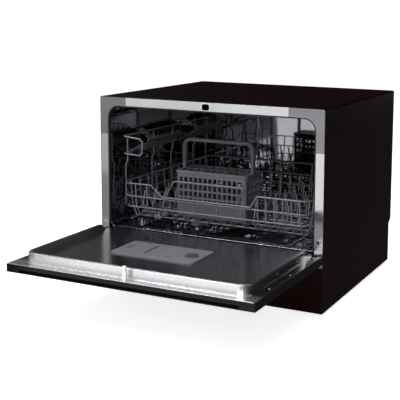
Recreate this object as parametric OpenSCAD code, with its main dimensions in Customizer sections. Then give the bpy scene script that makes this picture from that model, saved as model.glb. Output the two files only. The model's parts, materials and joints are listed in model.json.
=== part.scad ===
// Countertop dishwasher: a painted cabinet with a steel tub, a drop-down door and a rolling wire rack.
// Millimetres, X to the right, Y to the back, Z up. The origin is the centre of the cabinet's footprint
// on the surface it stands on. As drawn, the door is open level and the rack is rolled fully home.

/* [Cabinet] */
// Width of the cabinet and the door
cabinet_w = 550; // [544:1:570]
// Depth of the cabinet behind the closed door
cabinet_d = 480; // [476:1:500]
// Overall height on its feet
cabinet_h = 438; // [434:1:450]
// Thickness of the painted and stainless sheet
skin = 1.2; // [1:0.1:1.4]
// Height of the feet under the base
foot_h = 6; // [4:0.5:8]
// Radius of a foot
foot_r = 17; // [14:1:20]
// Top of the kick plate
kick_top = 100; // [94:1:102]
// How far the low part of the back steps in
step_in = 15; // [14:1:20]
// Height of the step in the back
step_z = 110; // [106:1:116]

/* [Tub] */
// Half width of the tub's opening
opening_x = 255; // [254:0.5:257]
// Inside depth of the tub, from the front plane
tub_back = 460; // [456:1:464]
// Height of the wheel tracks in the tub
track_z = 137; // [136:0.5:138]
// Radius of the tub's upper corners
tub_corner = 28; // [22:1:32]
// Depth of the well between the tracks
well_drop = 13; // [11:0.5:14]
// Width of the rubber seal round the opening
seal_w = 3; // [2:0.2:3.2]

/* [Door] */
// Thickness of the door at its edge
door_t = 18; // [17:0.5:19]
// How far the hinge axis stands before the cabinet
hinge_out = 12; // [12:0.25:13]
// Height of the hinge axis
hinge_z = 120; // [119:0.5:122]
// Radius of a hinge pin
pin_r = 3; // [2.5:0.1:3.2]
// Height of the raised rim on the liner
rim_h = 20; // [18:0.5:21]
// Width of the raised rim
rim_w = 8; // [7:0.5:10]
// Bare flange between the rim and the door's top edge
flange_w = 22; // [21:0.5:24]
// Half length of the grip recess in the door's top edge
grip_x = 244; // [200:2:250]
// Height of the grip recess
grip_h = 6; // [4:0.5:7]
// Radius of a programme button
button_r = 7; // [6:0.5:8]
// Travel of a programme button
button_travel = 1.5; // [1:0.1:2]

/* [Rack] */
// Half width of the rack over its side wires
rack_x = 235; // [233:0.5:236]
// Depth of the rack from front wire to back wire
rack_d = 430; // [420:1:431]
// Radius of the coated wire
wire_r = 1.8; // [1.7:0.1:2.1]
// Height of the rack's top hoop
rack_top = 237; // [230:1:242]
// Lower edge of the front dip that the cutlery basket shows through
dip_z = 212; // [209:1:216]
// Radius of a rack wheel
wheel_r = 12; // [11.5:0.25:12.25]
// Height of the cup rail
cup_rail_z = 345; // [335:1:355]
// Height of the wire that the cup shelves turn on
shelf_pivot_z = 305; // [298:1:310]
// Width of a cup shelf
shelf_w = 62; // [50:1:66]
// Resting tilt of a cup shelf
shelf_tilt = 27; // [20:1:32]

/* [Cutlery basket] */
// Length of the basket across the rack
basket_w = 180; // [160:2:184]
// Depth of the basket
basket_d = 78; // [66:1:80]
// Height of the basket's rim over its floor
basket_h = 106; // [95:1:112]
// Height of the handle over the rim
handle_rise = 70; // [55:1:74]

/* [Spray arm] */
// Reach of the spray arm from its hub
spray_reach = 178; // [150:1:182]

/* [Hidden] */
$fn = 32;

seat = 0.05;            // gap left between pieces that rest on one another
run = 0.06;             // radial clearance of what turns or slides in a bore
half_w = cabinet_w / 2;
inner_x = half_w - skin - seat;
frame_bottom = kick_top + 4;
opening_top = cabinet_h - 20;

// door, lying open: its inner flange faces up
hinge_y = -hinge_out;
door_gap = 1;
flange_z = hinge_z + hinge_out - door_gap;
door_under = flange_z - door_t;
nose_r = flange_z - hinge_z;
door_tip = hinge_y - (cabinet_h - 2 - hinge_z);
front_y = -(door_tip + cabinet_d) / 2;   // the origin is midway between the door's tip and the back
door_x = half_w - 0.5;
shell_top = flange_z - skin - seat;
shell_t = 2.5;
rim_x = opening_x - seal_w - 1;
rim_tip = door_tip + flange_w;
rim_top = flange_z + rim_h;
pan_z = track_z;
pan_end = hinge_y + 9;
grip_depth = 9;
bracket_x = opening_x + 7;
bracket_t = 6;
notch_gap = 0.6;
hook_x = -2;
hook_y = door_tip + 11;
slot_half = 9;

// programme buttons and display, low on the open door's outer face
panel_y = door_tip + 37;
button_pitch = 30;
button_x = [-110, -80, 60, 90, 120];

// detergent dispenser
disp_x0 = -122;
disp_x1 = 72;
disp_y0 = -192;
disp_y1 = -96;
disp_top = pan_z + 3;
lid_x0 = disp_x0 + 5;
lid_w = 66;
lid_travel = 60;
lid_y0 = disp_y0 + 16;
lid_d = 62;
lid_t = 2.4;
rinse_at = [46, -146];
rinse_r = 14;

// tub
lip_y = 9.5;
well_x = 185;
well_z = track_z - well_drop;
well_y0 = 30;
well_y1 = tub_back - 15;
hub_y = (well_y0 + well_y1) / 2;
sump_at = [110, hub_y + 95];
sump_r = 54;
salt_at = [-100, hub_y + 40];
salt_r = 21;

// rack, rolled home
rack_y = 23;
rod_gap = 2 * wire_r + seat;
rack_mid = 207;
rack_low = 182;
floor_z = track_z + 20;
grid_z = floor_z + rod_gap;
tine_z = grid_z + rod_gap;
dip_x0 = -126;
dip_x1 = 96;
dip_run = 30;
bend_r = 25;
wire_in = rod_gap + 0.1;   // from a hoop to the wires welded inside it
mid_in = 2.5;           // how far the middle and low hoops stand inside the top one
low_in = 5;
butt = 0.1;             // between the ends of wires that are butt-welded
grid_back = rack_d - wire_in;
cross_y0 = 33;
cross_pitch = 37;
cross_n = 11;
grid_pitch = 30;
grid_x = [for (i = [0:13]) grid_pitch * i - 200];
bar_x = [110, 150, 170, 210];
wheel_x = rack_x - 15;
wheel_w = 10;
wheel_z = track_z + wheel_r + seat;
wheel_places = [[-1, 95], [1, 95], [-1, 202.2], [1, 202.2]];
runner_x = rack_x - 23;
runner_z = floor_z - rod_gap;
tine_pitch = 26.5;
tine_h = 50;
post_y = [24, 138, 228, 342, 412];
cup_x = -(rack_x - 5);
pivot_x = cup_x + 2;

basket_x = -118;
basket_y = 49;
basket_z = grid_z + wire_r + 0.2;
basket_t = 2;

// ---------- outlines and helpers ----------

function arc(cx, cy, r, a0, a1, n = 8) =
  [for (i = [0:n]) [cx + r * cos(a0 + (a1 - a0) * i / n), cy + r * sin(a0 + (a1 - a0) * i / n)]];

function rounded(x0, y0, x1, y1, r, n = 6) = concat(
  arc(x1 - r, y1 - r, r, 0, 90, n), arc(x0 + r, y1 - r, r, 90, 180, n),
  arc(x0 + r, y0 + r, r, 180, 270, n), arc(x1 - r, y0 + r, r, 270, 360, n));

// two upright sides joined by a top with rounded corners
function arched(x, z0, z1, r) = concat(
  [[x, z0]], arc(x - r, z1 - r, r, 0, 90), arc(r - x, z1 - r, r, 90, 180), [[-x, z0]]);

// the door liner's outline: rounded at the door's tip, square at the hinge
function pan_outline(x, tip, end, r) = concat(
  [[x, end], [-x, end]], arc(r - x, tip + r, r, 180, 270), arc(x - r, tip + r, r, 270, 360));

module from_front() translate([0, front_y, 0]) children();
module along_x(x0, x1) translate([x0, 0, 0]) rotate([90, 0, 90]) linear_extrude(x1 - x0) children();
module along_y(y0, y1) translate([0, y1, 0]) rotate([90, 0, 0]) linear_extrude(y1 - y0) children();
module up(z0, z1) translate([0, 0, z0]) linear_extrude(z1 - z0) children();
module block(x0, x1, y0, y1, z0, z1) translate([x0, y0, z0]) cube([x1 - x0, y1 - y0, z1 - z0]);
module rack_space() translate([0, front_y + rack_y, 0]) children();

module rod(a, b, r = wire_r) {
  d = b - a;
  translate(a) rotate([0, acos(d[2] / norm(d)), atan2(d[1], d[0])]) cylinder(h = norm(d), r = r);
}

function along(a, b) = (b - a) / norm(b - a);

// a bent wire: rods between its points, with a ball at each bend just large enough to close the mitre
module wire(points, r = wire_r) {
  for (i = [0:len(points) - 2]) rod(points[i], points[i + 1], r);
  for (i = [1:1:len(points) - 2]) {
    bend = acos(along(points[i - 1], points[i]) * along(points[i], points[i + 1]));
    translate(points[i]) sphere(r = r * (1 / cos(bend / 2) + 0.04));
  }
}

// a quarter bend of wire about a corner's centre
module elbow(at, r, turn) translate(at) rotate([0, 0, turn])
  rotate_extrude(angle = 90) translate([r, 0]) circle(r = wire_r);

// a closed hoop of wire with round corners
module hoop(x, y0, y1, z, r) {
  for (s = [-1, 1]) rod([s * x, y0 + r, z], [s * x, y1 - r, z]);
  rod([-x + r, y0, z], [x - r, y0, z]);
  rod([-x + r, y1, z], [x - r, y1, z]);
  elbow([x - r, y1 - r, z], r, 0);
  elbow([-x + r, y1 - r, z], r, 90);
  elbow([-x + r, y0 + r, z], r, 180);
  elbow([x - r, y0 + r, z], r, 270);
}

// ---------- cabinet ----------

module cabinet_wrap() color("#141011") from_front() difference() {
  along_y(0, cabinet_d) polygon(arched(half_w, foot_h, cabinet_h, 4));
  along_y(-1, cabinet_d + 1) polygon(arched(half_w - skin, foot_h - 1, cabinet_h - skin, 4 - skin));
  along_x(-half_w - 1, half_w + 1) polygon([
    [cabinet_d - step_in, foot_h - 1], [cabinet_d - step_in, step_z - 8],
    [cabinet_d + 0.01, step_z], [cabinet_d + 2, step_z], [cabinet_d + 2, foot_h - 1]]);
}

module rear_panel() color("#26262a") from_front() difference() {
  union() {
    along_y(cabinet_d - skin, cabinet_d) polygon(arched(inner_x, step_z, cabinet_h - skin - seat, 3));
    along_x(-inner_x, inner_x) polygon([
      [cabinet_d - step_in, step_z - 8], [cabinet_d, step_z], [cabinet_d, step_z + skin],
      [cabinet_d - skin, step_z + skin], [cabinet_d - step_in, step_z - 8 + skin]]);
  }
  for (row = [0:4]) for (s = [-1, 1])
    along_y(cabinet_d - skin - 1, cabinet_d + 1)
      polygon(rounded(s * 150 - 45, step_z + 30 + 9 * row, s * 150 + 45, step_z + 33 + 9 * row, 1.4, 2));
}

module base_tray() color("#1b1b1d") from_front() {
  back = cabinet_d - step_in;
  difference() {
    block(-inner_x, inner_x, skin + seat, back, foot_h, kick_top);
    block(-inner_x + 3, inner_x - 3, skin + 4, back - 3, foot_h + 3, kick_top + 1);
    for (place = [[-150, 15.5, 42], [-95, 10, 36], [150, 9.5, 40]])
      translate([place[0], back - 4, place[2]]) rotate([-90, 0, 0]) cylinder(h = 5, r = place[1] - 2.4);
  }
  for (x = [-140, 0, 140]) block(x - 1.2, x + 1.2, skin + 3, back - 2, foot_h + 2, foot_h + 22);
  // seat of the sump
  translate([sump_at[0], sump_at[1], foot_h + 2]) difference() {
    cylinder(h = 50, r = 30);
    translate([0, 0, 3]) cylinder(h = 50, r = 27);
  }
}

module kick_plate() color("#0e0c0d") from_front() {
  along_y(0, skin) polygon(rounded(-inner_x, foot_h, inner_x, kick_top, 2));
}

module foot(i) color("#1a1a1a") from_front() {
  x = (i % 2 == 0 ? -1 : 1) * (half_w - 45);
  y = i < 2 ? 45 : cabinet_d - step_in - 40;
  translate([x, y, 0]) rotate_extrude() polygon([
    [0, 0], [foot_r - 2, 0], [foot_r, 2], [foot_r - 3, foot_h - seat], [0, foot_h - seat]]);
}
module foot_1() foot(0);
module foot_2() foot(1);
module foot_3() foot(2);
module foot_4() foot(3);

module opening_shape(grow = 0) polygon(arched(opening_x + grow, 0, opening_top + grow, tub_corner + grow));

module catch_slot() polygon(rounded(hook_x - slot_half, opening_top + 1.6, hook_x + slot_half,
                                    cabinet_h - 4.5, 4));

module front_frame() color("#b9bbbd") from_front() difference() {
  along_y(0, skin) polygon(arched(inner_x, frame_bottom, cabinet_h - skin - seat, 3));
  along_y(-1, skin + 1) opening_shape();
  along_y(-1, skin + 1) catch_slot();
}

// thin plate over each upper corner of the frame
module corner_cover(s) color("#84868a") from_front() {
  reach = s < 0 ? 68 : 82;
  drop = s < 0 ? 86 : 92;
  difference() {
    intersection() {
      along_y(-0.5, -seat) polygon(arched(inner_x, frame_bottom, cabinet_h - skin - seat, 3));
      block(s < 0 ? -half_w : half_w - reach, s < 0 ? reach - half_w : half_w,
            -2, 2, cabinet_h - drop, cabinet_h);
    }
    along_y(-1, 1) opening_shape(0.4);
  }
}
module corner_cover_left() corner_cover(-1);
module corner_cover_right() corner_cover(1);

module tub_outline(grow) polygon(concat(
  arc(opening_x - tub_corner, opening_top - tub_corner, tub_corner + grow, 0, 90),
  arc(tub_corner - opening_x, opening_top - tub_corner, tub_corner + grow, 90, 180),
  arc(10 - opening_x, track_z + 10, 10 + grow, 180, 270),
  arc(opening_x - 10, track_z + 10, 10 + grow, 270, 360)));

module emboss(x0, x1, grow) polygon(rounded(x0 - grow, track_z + 48 - grow, x1 + grow, opening_top - 40 + grow, 14));

module tub_shell() color("#77757e") from_front() difference() {
  union() {
    difference() {
      union() {
        along_y(skin + seat, tub_back + skin) tub_outline(skin);
        up(well_z - skin, track_z) polygon(rounded(-well_x - skin, well_y0 - skin, well_x + skin,
                                                    well_y1 + skin, 16));
      }
      along_y(0, tub_back) tub_outline(0);
      up(well_z, track_z + 1) polygon(rounded(-well_x, well_y0, well_x, well_y1, 15));
      block(-half_w, half_w, 0, lip_y - skin, 0, track_z + 10);
    }
    block(-opening_x - skin, opening_x + skin, lip_y - skin, lip_y, frame_bottom, track_z);
    // pressed panels on the back wall
    along_y(tub_back - 2.5, tub_back + 0.1) emboss(-225, -92, 0);
    along_y(tub_back - 2.5, tub_back + 0.1) emboss(-78, 225, 0);
  }
  along_y(tub_back - 2.5 + skin, tub_back + skin + 1) emboss(-225, -92, -skin);
  along_y(tub_back - 2.5 + skin, tub_back + skin + 1) emboss(-78, 225, -skin);
  translate([sump_at[0], sump_at[1], well_z - skin - 1]) cylinder(h = skin + 2, r = sump_r - 2);
  translate([salt_at[0], salt_at[1], well_z - skin - 1]) cylinder(h = skin + 2, r = 13);
  translate([0, hub_y, well_z - skin - 1]) cylinder(h = skin + 2, r = 9);
}

// rubber bead on the two sides and the top of the opening, with a strip under the front lip
module tub_seal() color("#0c0c0d") from_front() {
  difference() {
    along_y(skin + seat, 8) opening_shape(-seat);
    along_y(0, 9) opening_shape(-seal_w);
    block(-half_w, half_w, -1, 9, 0, track_z + 11);
  }
}

module latch_catch() color("#161618") from_front() difference() {
  along_y(skin + seat, 38) polygon(rounded(hook_x - slot_half - 3.5, opening_top + skin + seat,
                                            hook_x + slot_half + 3.5, cabinet_h - 2.4, 2));
  along_y(0, 35) polygon(rounded(hook_x - slot_half, opening_top + 2.6, hook_x + slot_half,
                                  cabinet_h - 4.5, 2));
}

module latch_trim() color("#d5d7da") from_front() difference() {
  along_y(-0.6, -seat) polygon(rounded(hook_x - slot_half - 3, opening_top + 0.4, hook_x + slot_half + 3,
                                        cabinet_h - 2.6, 6));
  along_y(-1, 1) catch_slot();
}

module hinge_bracket(s) color("#c9cbce") from_front() mirror([s < 0 ? 1 : 0, 0, 0]) difference() {
  union() {
    along_x(bracket_x, bracket_x + bracket_t) polygon(concat(
      arc(hinge_y, hinge_z, 6.5, 90, 270),
      [[-0.3, hinge_z - 7], [-0.3, hinge_z + 7]]));
    along_y(-0.6, -seat) polygon(rounded(opening_x + 2, frame_bottom + 3, opening_x + 17, hinge_z + 34, 4));
  }
  translate([bracket_x - 1, hinge_y, hinge_z]) rotate([0, 90, 0]) cylinder(h = bracket_t + 2, r = pin_r + 0.02);
}
module hinge_bracket_left() hinge_bracket(-1);
module hinge_bracket_right() hinge_bracket(1);

module hinge_pin(s) color("#e0e1e3") from_front() mirror([s < 0 ? 1 : 0, 0, 0])
  translate([bracket_x - 8, hinge_y, hinge_z]) rotate([0, 90, 0]) cylinder(h = 17, r = pin_r);
module hinge_pin_left() hinge_pin(-1);
module hinge_pin_right() hinge_pin(1);

// a spigot that stands out of the low step in the back
module rear_spigot(x, z, r, bore, length, collar) from_front()
  translate([x, cabinet_d - step_in + seat, z]) rotate([-90, 0, 0]) difference() {
    union() {
      cylinder(h = 3, r = collar);
      cylinder(h = length, r = r);
    }
    translate([0, 0, 3]) cylinder(h = length, r = bore);
  }
module water_inlet() color("#e8e8e6") rear_spigot(-150, 42, 13.2, 9, step_in - 1, 17);
module drain_outlet() color("#2c2c2e") rear_spigot(-95, 36, 9, 7, step_in - 1, 12);
module cord_gland() color("#161616") rear_spigot(150, 40, 7, 4, 7, 10);

// ---------- inside the tub ----------

module sump() color("#3a3a3e") from_front() translate([sump_at[0], sump_at[1], 0]) difference() {
  rotate_extrude() polygon([
    [0, foot_h + 5 + seat], [26.9, foot_h + 5 + seat], [26.9, 58], [sump_r - 6, 66], [sump_r - 3, 100],
    [sump_r + 6, well_z - skin - 4], [sump_r + 6, well_z - skin - seat], [0, well_z - skin - seat]]);
  translate([0, 0, foot_h + 9]) cylinder(h = 70, r = 23);
  translate([0, 0, 70]) cylinder(h = 80, r = sump_r - 9);
  translate([0, 0, well_z - skin - 2.5]) cylinder(h = 10, r = sump_r - 2.5);
}

module filter_plate() color("#8d8f92") from_front() translate([sump_at[0], sump_at[1], 0]) difference() {
  translate([0, 0, well_z - skin - 2.4]) cylinder(h = 2, r = sump_r - 2.7);
  translate([0, 0, well_z - skin - 3]) cylinder(h = 4, r = 27);
  for (a = [0:20:340]) rotate([0, 0, a]) for (r = [33, 39, 45])
    translate([r, 0, well_z - skin - 3]) cylinder(h = 4, r = 1.6, $fn = 16);
}

module filter_cup() color("#55565a") from_front() translate([sump_at[0], sump_at[1], 0]) {
  difference() {
    translate([0, 0, 70 + seat]) cylinder(h = track_z - 6 - 70 - seat, r = 26);
    translate([0, 0, 73]) cylinder(h = 80, r = 23.5);
    for (a = [0:30:150]) for (z = [86, 98]) rotate([0, 0, a])
      translate([0, 0, z + 4]) cube([60, 5, 8], center = true);
  }
  // finger bridge
  block(-24.5, 24.5, -2, 2, track_z - 14, track_z - 4);
}

module salt_cap() color("#dfe3da") from_front() translate([salt_at[0], salt_at[1], 0]) {
  translate([0, 0, well_z + seat]) cylinder(h = 6, r = salt_r);
  translate([0, 0, well_z + seat - 8]) cylinder(h = 9, r = 12.5);
  for (a = [0:30:330]) rotate([0, 0, a]) translate([salt_r - 3, -1.5, well_z + 1]) cube([4, 3, 5]);
  block(-16, 16, -2.5, 2.5, well_z + 5, track_z - 1);
}

module spray_post() color("#3b3c40") from_front() translate([0, hub_y, 0]) {
  rotate_extrude() polygon([
    [0, well_z - 6], [8.5, well_z - 6], [8.5, well_z + seat], [20, well_z + seat],
    [15, track_z - 4], [15, track_z + 3], [5, track_z + 3], [5, track_z + 16.5], [0, track_z + 16.5]]);
}

// a flat arm with round ends that widens to its hub, with two rows of jets on top
module spray_arm() color("#6b6d73") from_front() translate([0, hub_y, 0]) difference() {
  arm_z = track_z + 3 + seat;
  tip = 13;
  rotate([0, 0, 64]) union() {
    up(arm_z, arm_z + 8) polygon(concat(
      arc(spray_reach - tip, 0, tip, -80, 80), arc(0, 0, 26, 60, 120),
      arc(tip - spray_reach, 0, tip, 100, 260), arc(0, 0, 26, 240, 300)));
    up(arm_z + 7, arm_z + 10) polygon(concat(
      arc(spray_reach - tip, 0, tip - 5, -80, 80), arc(0, 0, 20, 60, 120),
      arc(tip - spray_reach, 0, tip - 5, 100, 260), arc(0, 0, 20, 240, 300)));
  }
  translate([0, 0, arm_z - 1]) cylinder(h = 20, r = 5 + run);
  rotate([0, 0, 64]) for (s = [-1, 1]) for (d = [45:28:spray_reach - 14])
    translate([s * d, s * 5, arm_z + 8]) cylinder(h = 4, r = 1.5, $fn = 16);
}

module spray_nut() color("#4a4b50") from_front() translate([0, hub_y, 0]) difference() {
  union() {
    translate([0, 0, track_z + 13 + 2 * seat]) cylinder(h = 2.4, r = 12);
  }
  translate([0, 0, track_z]) cylinder(h = 30, r = 5 + 0.02);
}

// ---------- door ----------

module hinge_notch() for (s = [-1, 1])
  block(s > 0 ? bracket_x - notch_gap : -bracket_x - bracket_t - notch_gap,
        s > 0 ? bracket_x + bracket_t + notch_gap : -bracket_x + notch_gap,
        hinge_y - 7.5, 5, 0, flange_z + 5);

module door_outer() color("#0d0b0c") from_front() difference() {
  union() {
    difference() {
      along_x(-door_x, door_x) polygon(concat(
        [[door_tip + 1.5, door_under], [door_tip, door_under + 1.5], [door_tip, shell_top]],
        arc(hinge_y, hinge_z, nose_r, asin((shell_top - hinge_z) / nose_r),
            -asin((hinge_z - door_under) / nose_r), 12)));
      block(-door_x + shell_t, door_x - shell_t, door_tip + 12, hinge_y - nose_r - 2,
            door_under + shell_t, flange_z + 5);
    }
    // ribs and blocks that carry the liner
    for (x = [-180, 0, 180]) block(x - 1.5, x + 1.5, door_tip + 10, disp_y0 - 12, door_under + 2, shell_top);
    block(-door_x + 2, door_x - 2, disp_y0 - 13, disp_y0 - 10, door_under + 2, shell_top);
  }
  along_y(door_tip - 1, door_tip + grip_depth) polygon(rounded(
    -grip_x, door_under + shell_t, grip_x, door_under + shell_t + grip_h, grip_h / 2));
  hinge_notch();
  for (s = [-1, 1]) mirror([s < 0 ? 1 : 0, 0, 0])
    translate([bracket_x - 9, hinge_y, hinge_z]) rotate([0, 90, 0]) cylinder(h = 19, r = pin_r + run);
  for (x = button_x) translate([x, panel_y, door_under - 1]) cylinder(h = 5, r = button_r + run);
}

module door_liner() color("#9c9ea2") from_front() difference() {
  union() {
    up(flange_z - skin, flange_z) polygon(rounded(-door_x + 1, door_tip + 1, door_x - 1, hinge_y, 3));
    up(flange_z - skin, rim_top - 1.5) polygon(pan_outline(rim_x, rim_tip, pan_end, 28));
    up(rim_top - 1.5, rim_top) polygon(pan_outline(rim_x - 1.5, rim_tip + 1.5, pan_end, 26.5));
    up(flange_z - 0.5, flange_z + 0.9) polygon(pan_outline(rim_x + 2.5, rim_tip - 3.5, pan_end, 30));
  }
  // pan
  up(pan_z, rim_top + 1) polygon(pan_outline(rim_x - rim_w, rim_tip + rim_w, 10, 20));
  // hollow under the pan and inside the rim
  up(flange_z - 3, pan_z - skin) polygon(pan_outline(rim_x - skin, rim_tip + skin, pan_end + 1, 26.8));
  difference() {
    up(pan_z - 3, rim_top - 1.5 - skin) polygon(pan_outline(rim_x - skin, rim_tip + skin, pan_end + 1, 26.8));
    up(pan_z - 4, rim_top) polygon(pan_outline(rim_x - rim_w + skin, rim_tip + rim_w - skin, 12, 21.2));
  }
  // the side rims fall away before the hinge
  along_x(-rim_x - 5, rim_x + 5) polygon([
    [hinge_y - 36, rim_top + 1], [hinge_y - 20, pan_z], [5, pan_z], [5, rim_top + 1]]);
  up(pan_z - 3, pan_z + 1) polygon(rounded(disp_x0 + 8, disp_y0 + 10, disp_x1 - 8, disp_y1 - 6, 6));
  hinge_notch();
}

// hook that the catch closes on
module door_hook() color("#f0f0ee") from_front() along_x(hook_x - 3.5, hook_x + 3.5) polygon([
  [hook_y - 3.5, flange_z + seat], [hook_y + 5, flange_z + seat], [hook_y + 3, flange_z + 3],
  [hook_y + 2.5, flange_z + 26], [hook_y + 0.5, flange_z + 27.5], [hook_y - 1.5, flange_z + 26],
  [hook_y - 4, flange_z + 20.5], [hook_y - 1.5, flange_z + 18.5], [hook_y - 1, flange_z + 3]]);

module control_fascia() color("#050506") from_front() difference() {
  up(door_under - 1, door_under - seat) polygon(rounded(-150, panel_y - 20, 150, panel_y + 20, 6));
  for (x = button_x) translate([x, panel_y, door_under - 2]) cylinder(h = 3, r = button_r + run);
  up(door_under - 2, door_under + 1) polygon(rounded(-42, panel_y - 13, 32, panel_y + 13, 3));
}

module display_window() color("#1c2a33") from_front()
  up(door_under - 1, door_under - seat) polygon(rounded(-41.8, panel_y - 12.8, 31.8, panel_y + 12.8, 2.8));

module programme_button(i) color("#2a2a2e") from_front() translate([button_x[i], panel_y, 0])
  rotate_extrude() polygon([
    [0, door_under - 2.8], [button_r - 0.8, door_under - 2.8], [button_r, door_under - 2],
    [button_r, door_under + shell_t + seat], [button_r + 2, door_under + shell_t + seat],
    [button_r + 2, door_under + shell_t + 1.5], [0, door_under + shell_t + 1.5]]);
module button_1() programme_button(0);
module button_2() programme_button(1);
module button_3() programme_button(2);
module button_4() programme_button(3);
module button_5() programme_button(4);

module dispenser_body() color("#8b8c93") from_front() difference() {
  union() {
    up(pan_z + seat, disp_top) polygon(rounded(disp_x0, disp_y0, disp_x1, disp_y1, 8));
    up(door_under + shell_t + 1, pan_z + 1) polygon(rounded(disp_x0 + 8.3, disp_y0 + 10.3, disp_x1 - 8.3,
                                                             disp_y1 - 6.3, 5.7));
    // rails that the lid slides in
    for (y = [lid_y0 - 3.2, lid_y0 + lid_d + 0.2])
      block(lid_x0, lid_x0 + lid_w + lid_travel, y, y + 3, disp_top - 0.5, disp_top + lid_t + 0.3);
  }
  up(door_under + shell_t + 3, disp_top + 1)
    polygon(rounded(lid_x0 + 6, lid_y0 + 6, lid_x0 + lid_w - 6, lid_y0 + lid_d - 6, 8));
  up(disp_top - 1.6, disp_top + 1) polygon(rounded(disp_x0 + 4, disp_y0 + 4, disp_x0 + 92, disp_y0 + 8, 1.8));
  translate([rinse_at[0], rinse_at[1], disp_top - 12]) cylinder(h = 20, r = rinse_r - 4);
  translate([rinse_at[0], rinse_at[1], disp_top - 1.5]) cylinder(h = 20, r = rinse_r + 0.6);
  block(-100.2, -79.8, disp_y1 - 12.2, disp_y1 - 3.8, disp_top - 2.4, disp_top + 5);
}

module dispenser_lid() color("#9a9ba2") from_front() {
  difference() {
    up(disp_top + seat, disp_top + lid_t) polygon(rounded(lid_x0, lid_y0, lid_x0 + lid_w, lid_y0 + lid_d, 3));
    for (i = [0:3]) block(lid_x0 + 10 + 4 * i, lid_x0 + 12 + 4 * i, lid_y0 + 16, lid_y0 + lid_d - 16,
                          disp_top + lid_t - 0.8, disp_top + 10);
  }
}

module dispenser_tab() color("#5b5c62") from_front()
  block(-100, -80, disp_y1 - 12, disp_y1 - 4, disp_top - 0.3, disp_top + 2.2);

module rinse_cap() color("#3f6f9a") from_front() translate([rinse_at[0], rinse_at[1], 0]) {
  translate([0, 0, disp_top - 1.5 + seat]) cylinder(h = 3.5, r = rinse_r);
  translate([0, 0, disp_top - 9]) cylinder(h = 8, r = rinse_r - 4 - run);
  block(-10, 10, -1.5, 1.5, disp_top + 1.5, disp_top + 4.5);
}

// ---------- rack ----------

// the top hoop dips at the front to show the cutlery basket
module top_hoop() {
  x = rack_x;
  r = bend_r;
  z = rack_top;
  // the left side with its two corners
  rod([-x, r, z], [-x, rack_d - r, z]);
  elbow([-x + r, rack_d - r, z], r, 90);
  elbow([-x + r, r, z], r, 180);
  // the other wires are butt-welded to it
  rod([-x + r + butt, rack_d, z], [x - r - butt, rack_d, z]);
  rod([x, r + butt, z], [x, rack_d - r - butt, z]);
  elbow([x - r, rack_d - r, z], r, 0);
  elbow([x - r, r, z], r, 270);
  wire([[-x + r + butt, 0, z], [dip_x0 - dip_run, 0, z], [dip_x0, 0, dip_z],
        [dip_x1, 0, dip_z], [dip_x1 + dip_run / 2, 0, z], [x - r - butt, 0, z]]);
}

module rack_frame() color("#6e6b76") rack_space() {
  top_hoop();
  hoop(rack_x - mid_in, mid_in, rack_d - mid_in, rack_mid, bend_r - mid_in);
  hoop(rack_x - low_in, low_in, rack_d - low_in, rack_low, bend_r - low_in);
  top_x = rack_x - wire_in;
  low_x = top_x - low_in;
  for (i = [0:cross_n - 1]) {
    y = cross_y0 + cross_pitch * i;
    wire([[-top_x, y, rack_top], [-low_x, y, rack_low], [19 - rack_x, y, floor_z],
          [rack_x - 19, y, floor_z], [low_x, y, rack_low], [top_x, y, rack_top]]);
  }
  for (s = [-1, 1]) rod([s * runner_x, 6, runner_z], [s * runner_x, rack_d - 20, runner_z]);
}

// bends up to a given height behind the front hoops
function front_bend(x, top) = concat(
  top > rack_low ? [[x, wire_in + low_in * (rack_top - top) / (rack_top - rack_low), top]] : [],
  [[x, low_in + wire_in, rack_low], [x, 24, grid_z]]);

// how high the front end of a lengthways wire stands: to the top hoop, to the dip or to the low hoop
function front_top(i) = i < 2 || i == 11 || i == 13 ? rack_top
  : i > 2 && i < 10 && i % 2 == 1 ? dip_z - 3 : rack_low;

module rack_grid() color("#6a6873") rack_space() {
  for (i = [0:len(grid_x) - 1]) {
    x = grid_x[i];
    wire(concat(front_bend(x, front_top(i)),
                [[x, rack_d - 24, grid_z], [x, grid_back - low_in, rack_low]],
                [i % 4 == 1 ? [x, grid_back, rack_top] : [x, grid_back - 2.5, rack_mid + 3]]));
  }
  for (x = bar_x) wire(concat(front_bend(x, rack_top), [[x, cross_y0 + cross_pitch + 6, grid_z]]));
  // loop that stands in front of the cutlery basket
  loop_x = [basket_x - 2, basket_x + basket_w - 2];
  loop_y = basket_y - 9;
  loop_z = dip_z + 31;
  wire([[loop_x[0], wire_in, dip_z - 1], [loop_x[0], loop_y - 4, loop_z - 4], [loop_x[0] + 6, loop_y, loop_z],
        [loop_x[1] - 6, loop_y, loop_z], [loop_x[1], loop_y - 4, loop_z - 4], [loop_x[1], wire_in, dip_z - 1]]);
}

// a tine stands on its cross bar, leans forward, then back
module tine(x, y) wire([[x, y, tine_z + wire_r + 0.9], [x, y - 9, tine_z + 16], [x, y, tine_z + tine_h]],
                       wire_r * 0.9);

// rows of tines on cross bars, tied by two long bars
module tine_bank(xs, ys) {
  for (y = ys) {
    rod([xs[0] - 8, y, tine_z], [xs[len(xs) - 1] + 8, y, tine_z]);
    for (x = xs) tine(x, y);
  }
  for (x = [xs[0] + 7, xs[len(xs) - 1] - 7])
    rod([x, ys[0] - 5, tine_z + rod_gap], [x, ys[len(ys) - 1] + 5, tine_z + rod_gap]);
}

module tines_left() color("#716e79") rack_space()
  tine_bank([for (i = [0:2]) -198 + tine_pitch * i], [for (i = [0:6]) 42 + 54 * i]);
module tines_right() color("#716e79") rack_space()
  tine_bank([for (i = [0:4]) 90 + tine_pitch * i], [for (i = [0:6]) 42 + 54 * i]);
module tines_rear() color("#716e79") rack_space()
  tine_bank([for (i = [0:6]) -100 + tine_pitch * i], [for (i = [0:3]) 190 + 60 * i]);

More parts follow.
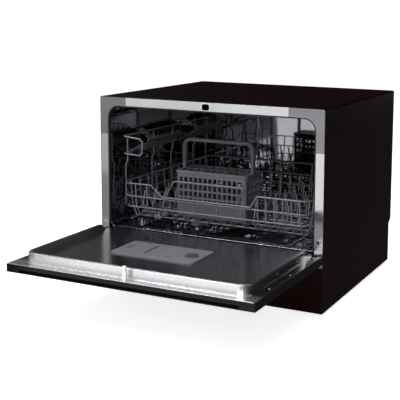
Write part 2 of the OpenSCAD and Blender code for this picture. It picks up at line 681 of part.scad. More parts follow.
module cup_rail() color("#6f6d78") rack_space() {
  ease = 6;
  wire([[cup_x, rack_d - 15, cup_rail_z], [cup_x, ease, cup_rail_z], [cup_x + ease, 0, cup_rail_z],
        [cup_x + 52 - ease, 0, cup_rail_z - 4], [cup_x + 52, 0, cup_rail_z - 4 - ease],
        [cup_x + 51, 0, shelf_pivot_z - 2 + ease], [cup_x + 51 - ease, 0, shelf_pivot_z - 2],
        [pivot_x + ease, 0, shelf_pivot_z], [pivot_x, ease, shelf_pivot_z],
        [pivot_x, rack_d - 15, shelf_pivot_z]]);
  // posts outside the rail and outside the rack's hoops
  post_x = cup_x - rod_gap;
  outer = -rack_x - wire_in;
  for (y = post_y)
    wire([[post_x, y, cup_rail_z + 1], [post_x, y, shelf_pivot_z - 20], [outer, y, shelf_pivot_z - 30],
          [outer, y, rack_low - 2]]);
}

// clip on the runner with the stub that a wheel turns on
module axle(i) color("#5d5b66") rack_space() {
  s = wheel_places[i][0];
  y = wheel_places[i][1];
  mirror([s < 0 ? 1 : 0, 0, 0]) difference() {
    union() {
      along_x(runner_x - 4, wheel_x - wheel_w / 2 - 0.3) polygon(rounded(y - 7, wheel_z - 6, y + 7, runner_z + 1.2, 1));
      translate([runner_x, y, wheel_z]) rotate([0, 90, 0]) cylinder(h = wheel_x + wheel_w / 2 + 1 - runner_x, r = 3);
      translate([wheel_x + wheel_w / 2 + 0.3, y, wheel_z]) rotate([0, 90, 0]) cylinder(h = 1.6, r = 4.6);
    }
    rod([runner_x, y - 20, runner_z], [runner_x, y + 20, runner_z], wire_r + 0.02);
  }
}
module axle_1() axle(0);
module axle_2() axle(1);
module axle_3() axle(2);
module axle_4() axle(3);

// a wheel with a tyre, a thin web and eight spokes
module wheel(i) color("#7d7b86") rack_space() {
  s = wheel_places[i][0];
  translate([s * wheel_x, wheel_places[i][1], wheel_z]) rotate([0, 90, 0]) {
    difference() {
      translate([0, 0, -wheel_w / 2]) cylinder(h = wheel_w, r = wheel_r);
      for (side = [-1, 1]) translate([0, 0, side * (wheel_w / 2 + 1)]) difference() {
        cylinder(h = 2 * (wheel_w / 2), r = wheel_r - 2, center = true);
        cylinder(h = 3 * wheel_w, r = 5.4, center = true);
      }
      cylinder(h = 3 * wheel_w, r = 3 + run, center = true);
    }
    for (a = [0:45:315]) rotate([0, 0, a]) translate([5, -0.8, -wheel_w / 2 + 1.5])
      cube([wheel_r - 6.5, 1.6, wheel_w - 3]);
  }
}
module wheel_1() wheel(0);
module wheel_2() wheel(1);
module wheel_3() wheel(2);
module wheel_4() wheel(3);

// a comb shelf: barrels on the pivot wire, a leaf-shaped slotted plate and a row of cup teeth
module cup_shelf(y0, length) color("#3d3d43") rack_space()
  translate([pivot_x, y0, shelf_pivot_z]) rotate([0, -shelf_tilt, 0]) {
    plate_t = 2.4;
    barrel_w = 18;
    barrel_y = [22, length - 22 - barrel_w];
    gap = 0.1;
    difference() {
      union() {
        up(-plate_t / 2, plate_t / 2) polygon(concat(
          [[0, 12], [10, 2]], arc(shelf_w - 20, 18, 16, -90, 0), arc(shelf_w - 16, length - 18, 16, 0, 90),
          [[10, length - 2], [0, length - 12]]));
        for (y = barrel_y) translate([0, y, 0]) rotate([-90, 0, 0]) cylinder(h = barrel_w, r = wire_r + 2);
        block(shelf_w - 8, shelf_w - 5, 22, length - 22, 0, 7);
      }
      translate([0, -10, 0]) rotate([-90, 0, 0]) cylinder(h = length + 20, r = wire_r + run);
      block(-10, 6, -1, barrel_y[0] - gap, -8, 8);
      block(-10, 6, barrel_y[0] + barrel_w + gap, barrel_y[1] - gap, -8, 8);
      block(-10, 6, barrel_y[1] + barrel_w + gap, length + 1, -8, 8);
      for (y = [26:12:length - 30]) block(14, shelf_w - 14, y, y + 5, -5, 5);
    }
    for (y = [26:14:length - 26]) along_y(y, y + 2.4) polygon([
      [shelf_w - 9, 5], [shelf_w - 3, 5], [shelf_w - 2, 12], [shelf_w - 7, 10]]);
  }
module cup_shelf_front() cup_shelf(6, 200);
module cup_shelf_rear() cup_shelf(236, 170);

// lattice basket with two dividers, a slotted top and an arched handle
module cutlery_basket() color("#56545f") rack_space() translate([basket_x, basket_y, basket_z]) {
  w = basket_w;
  d = basket_d;
  t = basket_t;
  cell = (w - t) / 3;
  row_z = 30;
  row_pitch = (basket_h - 40) / 4;
  difference() {
    union() {
      up(0, basket_h) polygon(rounded(0, 0, w, d, 6));
      up(basket_h - 6, basket_h) polygon(rounded(-2, -2, w + 2, d + 2, 8));
    }
    for (i = [0:2]) up(t, basket_h - 2.5)
      polygon(rounded(t + i * cell, t, (i + 1) * cell, d - t, 4, 2));
    // lattice through the front and back walls, then through the two ends
    for (i = [0:12]) for (row = [0:3]) {
      x = 9 + i * (w - 18) / 13;
      block(x, x + (w - 18) / 13 - 4, -5, d + 5, row_z + row_pitch * row, row_z + row_pitch * row + 12);
    }
    for (i = [0:4]) for (row = [0:3]) for (x = [-5, w - t - 2]) {
      y = 9 + i * (d - 18) / 5;
      block(x, x + t + 7, y, y + (d - 18) / 5 - 4, row_z + row_pitch * row, row_z + row_pitch * row + 12);
    }
    // cutlery holes in the top, drain holes in the floor
    for (i = [0:2]) for (k = [0:2]) for (row = [0:1]) {
      x = t + i * cell + 4 + k * (cell - 6) / 3;
      y = 7 + row * (d - 12) / 2;
      block(x, x + (cell - 6) / 3 - 3.5, y, y + (d - 12) / 2 - 3, basket_h - 5, basket_h + 1);
    }
    for (i = [0:5]) for (row = [0:1])
      block(14 + i * (w - 20) / 6, 24 + i * (w - 20) / 6, 14 + 28 * row, 34 + 28 * row, -1, t + 1);
  }
  // handle
  difference() {
    along_y(d / 2 - 6, d / 2 + 6) difference() {
      polygon(rounded(-1, basket_h - 20, w + 1, basket_h + handle_rise, 18));
      polygon(rounded(5, basket_h - 30, w - 5, basket_h + handle_rise - 6, 12));
    }
    block(-5, w + 5, -5, d + 5, 0, basket_h - 1);
    along_y(d / 2 - 7, d / 2 - 3.5) difference() {
      polygon(rounded(0.6, basket_h + 4, w - 0.6, basket_h + handle_rise - 1.6, 16));
      polygon(rounded(3.4, basket_h - 30, w - 3.4, basket_h + handle_rise - 4.4, 13));
    }
  }
}

cabinet_wrap();
rear_panel();
base_tray();
kick_plate();
foot_1();
foot_2();
foot_3();
foot_4();
front_frame();
corner_cover_left();
corner_cover_right();
tub_shell();
tub_seal();
latch_catch();
latch_trim();
hinge_bracket_left();
hinge_bracket_right();
hinge_pin_left();
hinge_pin_right();
water_inlet();
drain_outlet();
cord_gland();
sump();
filter_plate();
filter_cup();
salt_cap();
spray_post();
spray_arm();
spray_nut();
door_outer();
door_liner();
door_hook();
control_fascia();
display_window();
button_1();
button_2();
button_3();
button_4();
button_5();
dispenser_body();
dispenser_lid();
dispenser_tab();
rinse_cap();
rack_frame();
rack_grid();
tines_left();
tines_right();
tines_rear();
cup_rail();
axle_1();
axle_2();
axle_3();
axle_4();
wheel_1();
wheel_2();
wheel_3();
wheel_4();
cup_shelf_front();
cup_shelf_rear();
cutlery_basket();
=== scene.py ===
import json
import math

import bmesh
import bpy
from mathutils import Matrix, Vector


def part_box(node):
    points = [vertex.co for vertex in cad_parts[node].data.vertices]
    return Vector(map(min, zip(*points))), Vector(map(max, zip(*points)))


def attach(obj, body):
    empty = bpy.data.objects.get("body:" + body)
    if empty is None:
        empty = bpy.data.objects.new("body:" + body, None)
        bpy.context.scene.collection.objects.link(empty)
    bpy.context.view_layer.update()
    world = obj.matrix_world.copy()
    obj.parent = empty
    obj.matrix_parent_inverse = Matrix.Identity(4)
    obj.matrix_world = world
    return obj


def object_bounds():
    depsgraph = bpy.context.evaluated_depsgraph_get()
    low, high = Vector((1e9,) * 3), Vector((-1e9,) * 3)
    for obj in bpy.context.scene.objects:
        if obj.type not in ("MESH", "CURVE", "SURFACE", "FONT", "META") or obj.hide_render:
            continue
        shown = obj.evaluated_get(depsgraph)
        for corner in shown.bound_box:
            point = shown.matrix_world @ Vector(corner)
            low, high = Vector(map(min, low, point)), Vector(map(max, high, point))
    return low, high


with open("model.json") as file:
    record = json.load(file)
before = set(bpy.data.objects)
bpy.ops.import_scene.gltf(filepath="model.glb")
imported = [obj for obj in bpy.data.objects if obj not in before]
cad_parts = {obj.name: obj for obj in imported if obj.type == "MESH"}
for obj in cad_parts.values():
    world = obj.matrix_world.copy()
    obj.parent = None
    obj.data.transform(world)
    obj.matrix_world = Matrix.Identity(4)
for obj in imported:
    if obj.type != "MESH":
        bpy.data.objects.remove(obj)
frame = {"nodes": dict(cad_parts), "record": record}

CAD_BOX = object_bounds()
BACK = CAD_BOX[1][1]       # y of the cabinet's back
DEPTH = 0.480              # depth of the cabinet without its door
MIDDLE = BACK - DEPTH / 2  # y of the cabinet's middle, which the studio is set out from
FRONT = BACK - DEPTH       # y of the cabinet's front plane


# ---------------------------------------------------------------- materials
NOISE_ROUGHNESS = 0.55          # how much of the finer octaves a noise holds
HARD_EDGE = (0.995, 0.80)       # cosines between true and softened normal, from no edge to full edge
DEEP_SHADE = 0.55               # the grain's dark lines, as a share of the base colour
PAINTED_PAN_SHADE = (0.02, 0.02, 0.022)     # the colour that painted shade darkens the pan of a pressed sheet towards
COAT_ROUGHNESS = 0.06
GRAIN_STRENGTH = 0.5


class Tree:
    """A material's node tree, with short calls for the nodes used here."""

    def __init__(self, name):
        self.mat = bpy.data.materials.new(name)
        self.mat.use_nodes = True
        self.nodes = self.mat.node_tree.nodes
        self.bsdf = self.nodes["Principled BSDF"]
        self.coord = self.nodes.new("ShaderNodeTexCoord").outputs["Object"]

    def put(self, socket, value):
        if isinstance(value, bpy.types.NodeSocket):
            self.mat.node_tree.links.new(value, socket)
        else:
            socket.default_value = value

    def noise(self, scale, detail, stretch=None, distortion=0.0):
        vector = self.coord
        if stretch:
            mapping = self.nodes.new("ShaderNodeMapping")
            mapping.inputs["Scale"].default_value = stretch
            self.put(mapping.inputs["Vector"], self.coord)
            vector = mapping.outputs[0]
        n = self.nodes.new("ShaderNodeTexNoise")
        self.put(n.inputs["Vector"], vector)
        n.inputs["Scale"].default_value = scale
        n.inputs["Detail"].default_value = detail
        n.inputs["Roughness"].default_value = NOISE_ROUGHNESS
        n.inputs["Distortion"].default_value = distortion
        return n.outputs["Fac"]

    def cells(self, scale):
        """distance to the nearest of scattered points"""
        n = self.nodes.new("ShaderNodeTexVoronoi")
        self.put(n.inputs["Vector"], self.coord)
        n.inputs["Scale"].default_value = scale
        return n.outputs["Distance"]

    def span(self, value, a, b, low=0.0, high=1.0):
        """value, taken from a..b to low..high and clamped there"""
        n = self.nodes.new("ShaderNodeMapRange")
        self.put(n.inputs["Value"], value)
        n.inputs["From Min"].default_value = a
        n.inputs["From Max"].default_value = b
        n.inputs["To Min"].default_value = low
        n.inputs["To Max"].default_value = high
        return n.outputs[0]

    def math(self, op, a, b):
        n = self.nodes.new("ShaderNodeMath")
        n.operation = op
        n.use_clamp = op in ("ADD", "SUBTRACT")
        self.put(n.inputs[0], a)
        self.put(n.inputs[1], b)
        return n.outputs[0]

    def mix(self, fac, a, b):
        n = self.nodes.new("ShaderNodeMix")
        n.data_type = "RGBA"
        self.put(n.inputs[0], fac)
        for i, c in ((6, a), (7, b)):
            self.put(n.inputs[i], c if isinstance(c, bpy.types.NodeSocket) else (*c, 1.0))
        return n.outputs[2]

    def inside(self, low, high, soft=0.012):
        """1 inside the box from low to high, 0 outside it, with a soft border"""
        split = self.nodes.new("ShaderNodeSeparateXYZ")
        self.put(split.inputs[0], self.coord)
        mask = 1.0
        for axis in range(3):
            place = split.outputs[axis]
            for edge, sign in ((low[axis], 1.0), (high[axis], -1.0)):
                mask = self.math("MULTIPLY", mask, self.span(place, edge, edge + sign * soft))
        return mask

    def rounded_edge(self, radius):
        """(softened normal, 0..1 mask of the hard edges)"""
        bevel = self.nodes.new("ShaderNodeBevel")
        bevel.samples = 4
        bevel.inputs["Radius"].default_value = radius
        geometry = self.nodes.new("ShaderNodeNewGeometry")
        dot = self.nodes.new("ShaderNodeVectorMath")
        dot.operation = "DOT_PRODUCT"
        self.put(dot.inputs[0], bevel.outputs[0])
        self.put(dot.inputs[1], geometry.outputs["True Normal"])
        return bevel.outputs[0], self.span(dot.outputs["Value"], *HARD_EDGE)

    def bump(self, height, distance, normal=None):
        n = self.nodes.new("ShaderNodeBump")
        n.inputs["Strength"].default_value = GRAIN_STRENGTH
        n.inputs["Distance"].default_value = distance
        self.put(n.inputs["Height"], height)
        if normal is not None:
            self.put(n.inputs["Normal"], normal)
        return n.outputs[0]


def shade(c, k):
    return tuple(min(1.0, v * k) for v in c)


def finish(name, base, rough, metal=0.0, specular=0.5, coat=0.0, tone=0.10, tone_scale=9.0,
           grain=None, grain_scale=900.0, grain_depth=0.00002, grain_tone=0.06, rough_spread=0.07,
           edge=0.0006, edge_to=None, edge_amount=0.5, spots=None, spot_amount=0.0, spot_scale=90.0,
           basin=None, basin_shade=1.0, basin_rough=0.0):
    """One moulded, painted or metal surface: uneven tone, grain, edges with wear and a painted
    highlight, dried-on marks.

    grain stretches the fine noise, as in brushed steel. edge_to is the colour of the edges, partly wear
    and partly a painted highlight; without it the surface has no softened edges. spots is the colour of
    the dried-on marks. basin is the box of a part of the surface that has another roughness and a
    painted shade, such as the pan in a bright sheet.
    """
    t = Tree(name)
    broad = t.noise(tone_scale, 3.0)
    fine = t.noise(grain_scale, 2.0, stretch=grain)
    smudge = t.noise(tone_scale * 4.5, 4.0, distortion=0.6)

    colour = t.mix(t.span(broad, 0.3, 0.7), shade(base, 1 - tone), shade(base, 1 + tone))
    colour = t.mix(t.span(fine, 0.35, 0.65, 0.0, grain_tone), colour, shade(base, DEEP_SHADE))
    if spots:
        ring = t.span(t.cells(spot_scale), 0.10, 0.16)
        patch = t.span(t.noise(spot_scale * 0.35, 1.0), 0.56, 0.66)
        mark = t.math("MULTIPLY", t.math("SUBTRACT", patch, ring), spot_amount)
        colour = t.mix(mark, colour, spots)
    normal = None
    if edge_to:
        normal, mask = t.rounded_edge(edge)
        # edges with wear and a painted highlight: the edge colour is partly wear noise and partly a
        # painted highlight along every hard edge
        wear_and_highlight = t.span(t.noise(grain_scale * 0.16, 3.0), 0.42, 0.60, 0.15, edge_amount)
        colour = t.mix(t.math("MULTIPLY", mask, wear_and_highlight), colour, edge_to)

    half = rough_spread * 0.5
    roughness = t.math("ADD", t.span(fine, 0.3, 0.7, rough - half, rough + half),
                       t.span(smudge, 0.45, 0.75, 0.0, rough_spread))
    # painted shade: inside the basin the colour is darkened towards the pan's shade colour, and the
    # roughness changes too
    if basin:
        inside = t.inside(*basin)
        colour = t.mix(t.math("MULTIPLY", inside, 1.0 - basin_shade), colour, PAINTED_PAN_SHADE)
        roughness = t.math("ADD", roughness, t.math("MULTIPLY", inside, basin_rough))

    t.put(t.bsdf.inputs["Base Color"], colour)
    t.put(t.bsdf.inputs["Roughness"], roughness)
    t.put(t.bsdf.inputs["Normal"], t.bump(fine, grain_depth, normal))
    t.bsdf.inputs["Metallic"].default_value = metal
    t.bsdf.inputs["Specular IOR Level"].default_value = specular
    t.bsdf.inputs["Coat Weight"].default_value = coat
    t.bsdf.inputs["Coat Roughness"].default_value = COAT_ROUGHNESS
    return t.mat


ALONG_X, ALONG_Z = (0.02, 1.0, 1.0), (1.0, 1.0, 0.02)
# the box of the liner's pan, which gets a painted shade and a lower roughness
LINER_PAN = ((-0.290, FRONT - 0.300, 0.110), (0.290, FRONT + 0.020, 0.160))

M = {
    "enamel": finish(
        "black_enamel", (0.0055, 0.0010, 0.0012), 0.22, specular=0.10, tone=0.35, tone_scale=4.0,
        grain_scale=420.0, grain_depth=0.000012, rough_spread=0.05, edge=0.0010,
        edge_to=(0.045, 0.030, 0.032), edge_amount=0.45),
    "rear": finish(
        "galvanised_sheet", (0.24, 0.24, 0.25), 0.42, metal=0.85, tone=0.16, tone_scale=60.0,
        grain_scale=260.0, grain_tone=0.25, edge=0.0005, edge_to=(0.40, 0.40, 0.42)),
    "black": finish(
        "black_moulding", (0.014, 0.0125, 0.0135), 0.44, specular=0.4, tone=0.22, tone_scale=14.0,
        grain_scale=1500.0, grain_depth=0.00005, edge_to=(0.055, 0.053, 0.056)),
    "door_gloss": finish(
        "door_black_gloss", (0.0045, 0.0032, 0.0036), 0.14, specular=0.20, tone=0.25,
        tone_scale=7.0, grain_scale=500.0, grain_depth=0.000006, rough_spread=0.05,
        edge=0.0008, edge_to=(0.035, 0.033, 0.036)),
    "frame_x": finish(
        "front_frame_steel", (0.61, 0.613, 0.625), 0.09, metal=1.0, tone=0.03, grain=ALONG_X,
        grain_depth=0.000006, rough_spread=0.05, edge_to=(0.85, 0.85, 0.87)),
    "tub": finish(
        "tub_steel", (0.360, 0.350, 0.382), 0.03, metal=1.0, tone_scale=5.0, grain=ALONG_Z,
        grain_scale=700.0, grain_depth=0.000002, rough_spread=0.02, edge=0.0016,
        edge_to=(0.55, 0.545, 0.58), spots=(0.42, 0.41, 0.45), spot_amount=0.12, spot_scale=140.0),
    "corner": finish(
        "corner_cover_steel", (0.25, 0.255, 0.27), 0.20, metal=1.0, tone=0.05, grain=ALONG_X,
        grain_depth=0.000006, edge_to=(0.42, 0.42, 0.45)),
    "liner": finish(
        "liner_steel", (0.80, 0.80, 0.82), 0.27, metal=1.0, tone=0.04, tone_scale=11.0,
        grain=ALONG_X, grain_scale=800.0, grain_depth=0.000006, grain_tone=0.04,
        rough_spread=0.03, edge=0.0010, edge_to=(0.90, 0.90, 0.92),
        spots=(0.66, 0.66, 0.69), spot_amount=0.06, spot_scale=160.0,
        basin=LINER_PAN, basin_shade=0.55, basin_rough=-0.09),
    "rubber": finish(
        "seal_rubber", (0.013, 0.0125, 0.014), 0.60, specular=0.35, tone=0.25,
        grain_scale=1800.0, grain_depth=0.00006, rough_spread=0.10),
    "chrome": finish(
        "bright_chrome", (0.80, 0.81, 0.83), 0.09, metal=1.0, tone=0.04, grain_depth=0.000004,
        rough_spread=0.05),
    "plated": finish(
        "plated_hinge_steel", (0.70, 0.71, 0.73), 0.22, metal=1.0, tone=0.08, grain=ALONG_Z,
        grain_tone=0.12, edge_to=(0.9, 0.9, 0.9)),
    "white": finish(
        "white_moulding", (0.74, 0.74, 0.71), 0.38, tone=0.05, grain_scale=1300.0,
        grain_tone=0.05, edge_to=(0.86, 0.86, 0.84)),
    "sump": finish(
        "sump_moulding", (0.055, 0.055, 0.060), 0.42, tone=0.16, grain_scale=1300.0,
        edge_to=(0.14, 0.14, 0.15)),
    "filter": finish(
        "filter_steel", (0.34, 0.335, 0.36), 0.26, metal=1.0, grain_scale=1200.0,
        grain_tone=0.20, edge=0.0004, edge_to=(0.6, 0.6, 0.62)),
    "grey": finish(
        "grey_moulding", (0.115, 0.112, 0.128), 0.40, grain_scale=1400.0,
        edge_to=(0.22, 0.22, 0.24)),
    "spray": finish(
        "spray_arm_moulding", (0.125, 0.125, 0.138), 0.36, tone=0.12, grain_scale=1400.0,
        edge_to=(0.26, 0.26, 0.28)),
    "salt": finish(
        "salt_cap_moulding", (0.60, 0.64, 0.58), 0.35, tone=0.05, grain_scale=1200.0,
        edge_to=(0.78, 0.8, 0.76)),
    "dispenser": finish(
        "dispenser_moulding", (0.185, 0.182, 0.205), 0.34, tone=0.09, grain_scale=1500.0,
        edge_to=(0.34, 0.34, 0.37)),
    "cap": finish(
        "rinse_cap_moulding", (0.045, 0.085, 0.125), 0.33, grain_scale=1400.0,
        edge_to=(0.10, 0.16, 0.22)),
    "window": finish(
        "smoked_window", (0.010, 0.014, 0.018), 0.06, coat=0.6, tone=0.2, grain_depth=0.000003,
        rough_spread=0.03, edge=0.0004, edge_to=(0.05, 0.06, 0.07)),
    "wire": finish(
        "nylon_coated_wire", (0.140, 0.136, 0.157), 0.21, specular=0.75, tone=0.16,
        tone_scale=22.0, grain_depth=0.00004, grain_tone=0.10, rough_spread=0.10),
    "wheel": finish(
        "wheel_moulding", (0.180, 0.176, 0.200), 0.33, grain_scale=1400.0, edge=0.0005,
        edge_to=(0.50, 0.50, 0.54), edge_amount=0.8),
    "shelf": finish(
        "cup_shelf_moulding", (0.040, 0.039, 0.045), 0.38, tone=0.14, grain_scale=1500.0,
        edge=0.0009, edge_to=(0.24, 0.24, 0.26), edge_amount=0.85),
    "basket": finish(
        "basket_moulding", (0.098, 0.096, 0.110), 0.36, tone=0.12, tone_scale=15.0,
        grain_scale=1500.0, grain_depth=0.00004, edge=0.0004, edge_to=(0.20, 0.20, 0.23)),
}
SLOT_TO_MATERIAL = {
    "black_enamel": "enamel", "galvanised": "rear", "black_plastic": "black",
    "gloss_black": "door_gloss", "frame_steel": "frame_x", "tub_steel": "tub",
    "liner_steel": "liner", "rubber": "rubber", "chrome": "chrome", "hinge_steel": "plated",
    "white_plastic": "white", "sump_plastic": "sump", "filter_steel": "filter",
    "grey_plastic": "grey", "spray_plastic": "spray", "salt_plastic": "salt",
    "dispenser_plastic": "dispenser", "cap_blue": "cap", "window": "window",
    "nylon_wire": "wire", "wheel_plastic": "wheel", "shelf_plastic": "shelf",
    "basket_plastic": "basket",
}


def dress(node, key):
    """Give every slot of a CAD node one of the finishes."""
    ob = frame["nodes"][node]
    if not ob.material_slots:
        ob.data.materials.append(M[key])
    for s in ob.material_slots:
        s.material = M[key]


for part in frame["record"]["subparts"]:
    dress(part["node"], SLOT_TO_MATERIAL[part["material_slot"]])
dress("corner_cover_left", "corner")
dress("corner_cover_right", "corner")


# ---------------------------------------------------------------- small fasteners and the inlet's thread
def add_piece(name, bm, turn, at, body, key):
    """Turn a mesh that was built round the origin, put it in its place and let it ride on a body."""
    bm.transform(Matrix.Translation(at) @ turn.to_matrix().to_4x4())
    bmesh.ops.recalc_face_normals(bm, faces=bm.faces)
    mesh = bpy.data.meshes.new(name)
    bm.to_mesh(mesh)
    bm.free()
    ob = bpy.data.objects.new(name, mesh)
    bpy.context.scene.collection.objects.link(ob)
    mesh.materials.append(M[key])
    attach(ob, body)


SCREW_STEPS = 32        # corners round a screw's head
CROSS_HALF = 0.14       # half the width of the cross, as a share of the head's radius
CROSS_REACH = 0.55      # how far out the cross goes, as a share of the head's radius
HEAD_SKIRT = 0.0002     # how far the head's skirt goes into the sheet
HEAD_RINGS = (0.14, 0.26, 0.38, 0.50, 0.60, 0.72, 0.86, 0.95, 1.0)


def cross_screw(name, at, out, radius, proud, body):
    """The head of a cross-head screw: a low dome with a cross sunk in it, on the sheet at a point."""
    bm = bmesh.new()
    middle = bm.verts.new((0.0, 0.0, 0.0))
    turns = [math.tau * (i + 0.5) / SCREW_STEPS for i in range(SCREW_STEPS)]
    rings = []
    for share in HEAD_RINGS:
        ring = []
        for angle in turns:
            x, y = share * math.cos(angle), share * math.sin(angle)
            height = proud * (1.0 - share ** 4)
            if share < CROSS_REACH and min(abs(x), abs(y)) < CROSS_HALF:
                height = 0.0
            ring.append(bm.verts.new((x * radius, y * radius, height)))
        rings.append(ring)
    rings.append([bm.verts.new((radius * math.cos(angle), radius * math.sin(angle), -HEAD_SKIRT))
                  for angle in turns])
    for i in range(SCREW_STEPS):
        j = (i + 1) % SCREW_STEPS
        bm.faces.new((middle, rings[0][i], rings[0][j]))
        for inner, outer in zip(rings, rings[1:]):
            bm.faces.new((inner[i], outer[i], outer[j], inner[j]))
    bm.faces.new(rings[-1])
    add_piece(name, bm, Vector(out).to_track_quat("Z", "Y"), at, body, "plated")


THREAD_STEPS = 64       # corners round the thread
THREAD_SINK = 0.0003    # how far the thread's ends go into the stub
THREAD_ROOT = 0.00005   # how far the thread's roots stand off the stub


def thread(name, at, radius, crest, pitch, turns, body, key):
    """Thread ridges round a stub that points backwards from a point."""
    profile = [(radius - THREAD_SINK, 0.0)]
    for n in range(turns):
        profile += [(radius + THREAD_ROOT, pitch * (n + 0.08)), (crest, pitch * (n + 0.42)),
                    (crest, pitch * (n + 0.58)), (radius + THREAD_ROOT, pitch * (n + 0.92))]
    profile.append((radius - THREAD_SINK, pitch * turns))
    bm = bmesh.new()
    rows = []
    for i in range(THREAD_STEPS):
        angle = math.tau * i / THREAD_STEPS
        rows.append([bm.verts.new((r * math.cos(angle), h, r * math.sin(angle)))
                     for r, h in profile])
    for i in range(THREAD_STEPS):
        near, far = rows[i], rows[(i + 1) % THREAD_STEPS]
        for k in range(len(profile)):
            m = (k + 1) % len(profile)
            bm.faces.new((near[k], near[m], far[m], far[k]))
    add_piece(name, bm, Vector((0, 1, 0)).to_track_quat("Y", "Z"), at, body, key)


# the rear sheet's screws: four down each side, three along the top
rear_screws = [(side * 0.262, z) for side in (-1, 1) for z in (0.130, 0.230, 0.330, 0.418)]
rear_screws += [(x, 0.427) for x in (-0.13, 0.0, 0.13)]
for n, (x, z) in enumerate(rear_screws):
    cross_screw(f"rear_screw_{n + 1}", (x, BACK, z), (0, 1, 0), 0.0036, 0.0009, "cabinet")

HINGE_PLATE = 0.0006    # thickness of the hinge plates in front of the cabinet
HINGE_SCREW_Z = 0.1455
FLANGE_DROP = 0.020     # the door's side flanges lie this much under the top of its liner
for side, x in (("left", -0.2645), ("right", 0.2645)):
    cross_screw(f"hinge_screw_{side}", (x, FRONT - HINGE_PLATE, HINGE_SCREW_Z), (0, -1, 0),
                0.0034, 0.00025, "cabinet")
    for n, out in enumerate((0.055, 0.150, 0.245)):
        cross_screw(f"flange_screw_{side}_{n + 1}",
                    (x, FRONT - out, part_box("door_liner")[1][2] - FLANGE_DROP), (0, 0, 1),
                    0.0028, 0.0003, "door")
thread("inlet_thread", (-0.150, BACK - 0.0105, 0.042), radius=0.0132, crest=0.0139, pitch=0.0018,
       turns=5, body="cabinet", key="white")


# ---------------------------------------------------------------- light, floor and camera
def area_light(name, at, to, size, power):
    data = bpy.data.lights.new(name, "AREA")
    data.shape = "RECTANGLE"
    data.size, data.size_y = size
    data.energy = power
    ob = bpy.data.objects.new(name, data)
    ob.location = (at[0], at[1] + MIDDLE, at[2])
    ob.rotation_euler = (Vector(to) - Vector(at)).to_track_quat("-Z", "Y").to_euler()
    bpy.context.scene.collection.objects.link(ob)


area_light("key", (-0.9, -1.7, 2.3), (0.0, -0.1, 0.25), (1.4, 1.0), 36.0)
area_light("front_fill", (1.0, -2.6, 1.0), (0.0, -0.1, 0.25), (1.6, 1.2), 16.0)
area_light("top", (0.1, 0.4, 2.4), (0.0, 0.0, 0.3), (2.0, 1.6), 26.0)

# a white studio: the background is white, and the light from around comes softly from the front left
BRIGHT_SIDE = Vector((-0.55, -0.75, 0.36)).normalized()
WORLD_FROM = -0.30                      # cosine to the bright side at which the light starts
WORLD_LOW, WORLD_HIGH = 0.008, 0.60     # strength away from the bright side and towards it
world = bpy.data.worlds.new("studio")
world.use_nodes = True
wn = world.node_tree.nodes
direction = wn.new("ShaderNodeTexCoord").outputs["Generated"]
toward = wn.new("ShaderNodeVectorMath")
toward.operation = "DOT_PRODUCT"
toward.inputs[1].default_value = BRIGHT_SIDE
ramp = wn.new("ShaderNodeMapRange")
ramp.inputs["From Min"].default_value = WORLD_FROM
ramp.inputs["From Max"].default_value = 1.0
ramp.inputs["To Min"].default_value = WORLD_LOW
ramp.inputs["To Max"].default_value = WORLD_HIGH
path = wn.new("ShaderNodeLightPath")
shown = wn.new("ShaderNodeMath")
shown.operation = "MAXIMUM"
for a, b in ((direction, toward.inputs[0]), (toward.outputs["Value"], ramp.inputs["Value"]),
             (ramp.outputs[0], shown.inputs[0]), (path.outputs["Is Camera Ray"], shown.inputs[1]),
             (shown.outputs[0], wn["Background"].inputs["Strength"])):
    world.node_tree.links.new(a, b)
wn["Background"].inputs["Color"].default_value = (1.0, 1.0, 1.0, 1.0)
bpy.context.scene.world = world


def reflected_card(name, corners, z, grey):
    """A card on the studio floor that only polished surfaces see: a black flag or a white card."""
    mesh = bpy.data.meshes.new(name)
    mesh.from_pydata([(x, y + MIDDLE, z) for x, y in corners], [], [tuple(range(len(corners)))])
    ob = bpy.data.objects.new(name, mesh)
    bpy.context.scene.collection.objects.link(ob)
    m = bpy.data.materials.new(name)
    m.use_nodes = True
    bsdf = m.node_tree.nodes["Principled BSDF"]
    bsdf.inputs["Base Color"].default_value = (0, 0, 0, 1)
    bsdf.inputs["Emission Color"].default_value = (1, 1, 1, 1)
    bsdf.inputs["Emission Strength"].default_value = grey
    mesh.materials.append(m)
    ob.visible_camera = ob.visible_diffuse = ob.visible_shadow = False
    ob.visible_transmission = ob.visible_volume_scatter = False


def rectangle(x0, x1, y0, y1):
    return [(x0, y0), (x1, y0), (x1, y1), (x0, y1)]


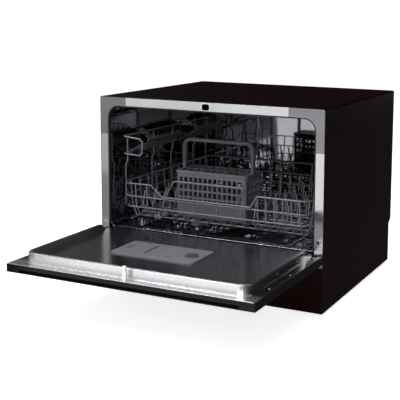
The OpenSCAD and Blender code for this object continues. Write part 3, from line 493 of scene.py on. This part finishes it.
# the cards lie over one another: the dark one lowest, the white one on top
DARK_Z, GREY_Z, WHITE_Z = 0.0004, 0.0006, 0.0008
reflected_card("dark_card", rectangle(-6.0, 6.0, -6.0, 6.0), DARK_Z, 0.035)
reflected_card("far_card", rectangle(-6.0, 0.4, -9.0, -3.0), GREY_Z, 0.85)
reflected_card("left_card", [(-6.0, -3.0), (-1.58, -3.0), (-0.85, -1.4), (-6.0, -1.4)], GREY_Z, 0.48)
reflected_card("low_card", [(-6.0, -1.4), (-0.85, -1.4), (-0.50, -0.62), (-6.0, -0.62)], GREY_Z, 0.20)
reflected_card("white_card",
               [(-0.56, -0.99), (-3.29, -7.0), (0.4, -7.0), (0.4, -0.70), (-0.43, -0.70)],
               WHITE_Z, 1.0)

FLOOR_GLOW = 0.80   # keeps the floor nearly white round the part, with a soft shadow left
bpy.ops.mesh.primitive_plane_add(size=14.0, location=(0.0, 0.0, 0.0))
floor = bpy.context.object
floor.name = "studio_floor"
paper = Tree("pale_paper")
paper.put(paper.bsdf.inputs["Base Color"],
          paper.mix(paper.span(paper.noise(2.0, 2.0), 0.3, 0.7),
                    (0.88, 0.88, 0.88), (0.92, 0.92, 0.92)))
paper.bsdf.inputs["Emission Color"].default_value = (1.0, 1.0, 1.0, 1.0)
paper.bsdf.inputs["Emission Strength"].default_value = FLOOR_GLOW
paper.bsdf.inputs["Roughness"].default_value = 0.9
paper.bsdf.inputs["Specular IOR Level"].default_value = 0.1
floor.data.materials.append(paper.mat)

# the photograph's camera, as it was fitted to the corners of the cabinet, the door and the rack
EYE = (0.914523, MIDDLE - 1.922900, 0.642269)
EYE_TURN = (82.481, -0.585, 24.708)     # degrees
LENS, SENSOR = 80.2466, 36.0            # millimetres
SHIFT = (-0.16608, -0.18784)            # the photograph is a crop, off the lens's axis
camera = bpy.data.cameras.new("camera")
camera.lens = LENS
camera.sensor_width = SENSOR
camera.shift_x, camera.shift_y = SHIFT
camera.clip_end = 50.0
eye = bpy.data.objects.new("camera", camera)
eye.location = EYE
eye.rotation_euler = [math.radians(angle) for angle in EYE_TURN]
bpy.context.scene.collection.objects.link(eye)
bpy.context.scene.camera = eye
bpy.context.scene.view_settings.view_transform = "Standard"
